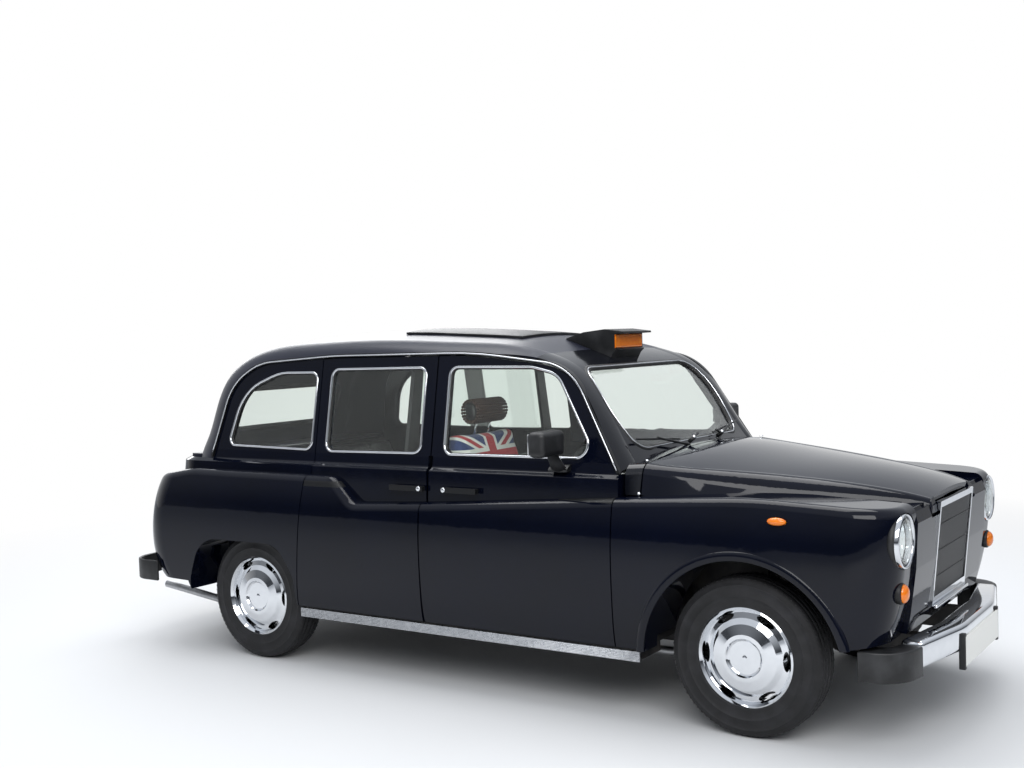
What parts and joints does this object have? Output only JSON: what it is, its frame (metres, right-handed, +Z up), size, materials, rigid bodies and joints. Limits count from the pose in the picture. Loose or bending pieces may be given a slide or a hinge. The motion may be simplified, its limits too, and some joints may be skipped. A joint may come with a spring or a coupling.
{
  "type": "taxi cab",
  "caption": "Black four-door taxi cab with separate rounded wings, upright cabin, rear-hinged rear doors, chrome grille, round headlamps and a small lit roof sign.",
  "frame": {"origin": "on the ground, midway along and across the vehicle", "axes": "+X forward, +Y to the vehicle's left, +Z up"},
  "size_m": [4.58, 2.1, 1.7525],
  "materials": {
    "paint": "gloss",
    "chrome": "polished",
    "bright_trim": "polished",
    "black_plastic": "matte",
    "plate": "gloss",
    "lamp_glass": "clear",
    "amber": "gloss",
    "red_lens": "gloss",
    "iron": "cast",
    "chassis": "satin",
    "steel": "satin",
    "wheel_steel": "polished",
    "tyre": "matte",
    "dark_trim": "matte",
    "seat_cloth": "satin",
    "glass": "clear"
  },
  "bodies": {
    "car_body": {"amber_lamps": "amber", "body_shell": "paint", "bumper_caps": "black_plastic", "chassis_frame": "chassis", "dashboard": "dark_trim", "drivers_seat": "seat_cloth", "engine_block": "iron", "exhaust": "steel", "fixed_glass": "glass", "floor_pan": "chassis", "front_bumper": "bright_trim", "front_suspension": "chassis", "front_wing_left": "paint", "front_wing_right": "paint", "grille": "chrome", "headlamps": "lamp_glass", "nose_panel": "paint", "number_plates": "plate", "partition": "dark_trim", "partition_glass": "glass", "rear_axle": "chassis", "rear_bumper": "bright_trim", "rear_quarter_left": "paint", "rear_quarter_right": "paint", "rear_seat": "seat_cloth", "roof_fittings": "black_plastic", "roof_sign_lens": "amber", "side_trims": "bright_trim", "tail_lamps": "red_lens", "wipers": "black_plastic"},
    "front_door_left": {"front_door_left": "paint", "front_door_glass_left": "glass", "mirror_left": "black_plastic"},
    "front_door_right": {"front_door_right": "paint", "front_door_glass_right": "glass", "mirror_right": "black_plastic"},
    "rear_door_left": {"rear_door_left": "paint", "rear_door_glass_left": "glass"},
    "rear_door_right": {"rear_door_right": "paint", "rear_door_glass_right": "glass"},
    "bonnet": {"bonnet": "paint"},
    "boot_lid": {"boot_lid": "paint"},
    "steering_wheel": {"steering_wheel": "dark_trim"},
    "knuckle_left": {"knuckle_left": "chassis"},
    "knuckle_right": {"knuckle_right": "chassis"},
    "tip_up_seat_left": {"tip_up_seat_left": "seat_cloth"},
    "tip_up_seat_right": {"tip_up_seat_right": "seat_cloth"},
    "wheel_front_left": {"wheel_front_left": "wheel_steel", "tyre_front_left": "tyre"},
    "wheel_front_right": {"wheel_front_right": "wheel_steel", "tyre_front_right": "tyre"},
    "wheel_rear_left": {"wheel_rear_left": "wheel_steel", "tyre_rear_left": "tyre"},
    "wheel_rear_right": {"wheel_rear_right": "wheel_steel", "tyre_rear_right": "tyre"}
  },
  "joints": [
    {"name": "front_door_left_hinge", "type": "hinge", "parent": "car_body", "child": "front_door_left", "pos_m": [0.945, 0.872, 0.7], "axis": [0, 0, -1], "range_deg": [0, 70]},
    {"name": "front_door_right_hinge", "type": "hinge", "parent": "car_body", "child": "front_door_right", "pos_m": [0.945, -0.872, 0.7], "axis": [0, 0, 1], "range_deg": [0, 70]},
    {"name": "rear_door_left_hinge", "type": "hinge", "parent": "car_body", "child": "rear_door_left", "pos_m": [-0.93, 0.872, 0.7], "axis": [0, 0, 1], "range_deg": [0, 80]},
    {"name": "rear_door_right_hinge", "type": "hinge", "parent": "car_body", "child": "rear_door_right", "pos_m": [-0.93, -0.872, 0.7], "axis": [0, 0, -1], "range_deg": [0, 80]},
    {"name": "bonnet_hinge", "type": "hinge", "parent": "car_body", "child": "bonnet", "pos_m": [1.035, 0, 1.168], "axis": [0, -1, 0], "range_deg": [0, 50]},
    {"name": "boot_lid_hinge", "type": "hinge", "parent": "car_body", "child": "boot_lid", "pos_m": [-1.951, 0, 1.028], "axis": [0, 1, 0], "range_deg": [0, 80]},
    {"name": "tip_up_seat_left_hinge", "type": "hinge", "parent": "car_body", "child": "tip_up_seat_left", "pos_m": [-0.362, 0.38, 0.606], "axis": [0, -1, 0], "range_deg": [0, 85]},
    {"name": "tip_up_seat_right_hinge", "type": "hinge", "parent": "car_body", "child": "tip_up_seat_right", "pos_m": [-0.362, -0.38, 0.606], "axis": [0, -1, 0], "range_deg": [0, 85]},
    {"name": "steer_left", "type": "hinge", "parent": "car_body", "child": "knuckle_left", "pos_m": [1.525, 0.58, 0.338], "axis": [0, 0, 1], "range_deg": [-40, 40]},
    {"name": "steer_right", "type": "hinge", "parent": "car_body", "child": "knuckle_right", "pos_m": [1.525, -0.58, 0.338], "axis": [0, 0, 1], "range_deg": [-40, 40]},
    {"name": "steering_wheel_turn", "type": "hinge", "parent": "car_body", "child": "steering_wheel", "pos_m": [0.52, -0.38, 1.02], "axis": [-0.8468, 0, 0.5319], "range_deg": [-570, 570]},
    {"name": "wheel_front_left_spin", "type": "hinge", "parent": "knuckle_left", "child": "wheel_front_left", "pos_m": [1.525, 0.711, 0.338], "axis": [0, 1, 0], "continuous": true},
    {"name": "wheel_front_right_spin", "type": "hinge", "parent": "knuckle_right", "child": "wheel_front_right", "pos_m": [1.525, -0.711, 0.338], "axis": [0, 1, 0], "continuous": true},
    {"name": "wheel_rear_left_spin", "type": "hinge", "parent": "car_body", "child": "wheel_rear_left", "pos_m": [-1.285, 0.711, 0.338], "axis": [0, 1, 0], "continuous": true},
    {"name": "wheel_rear_right_spin", "type": "hinge", "parent": "car_body", "child": "wheel_rear_right", "pos_m": [-1.285, -0.711, 0.338], "axis": [0, 1, 0], "continuous": true}
  ],
  "couplings": [
    {"joint": "steer_right", "follows": "steer_left", "ratio": 1},
    {"joint": "steering_wheel_turn", "follows": "steer_left", "ratio": 14}
  ]
}
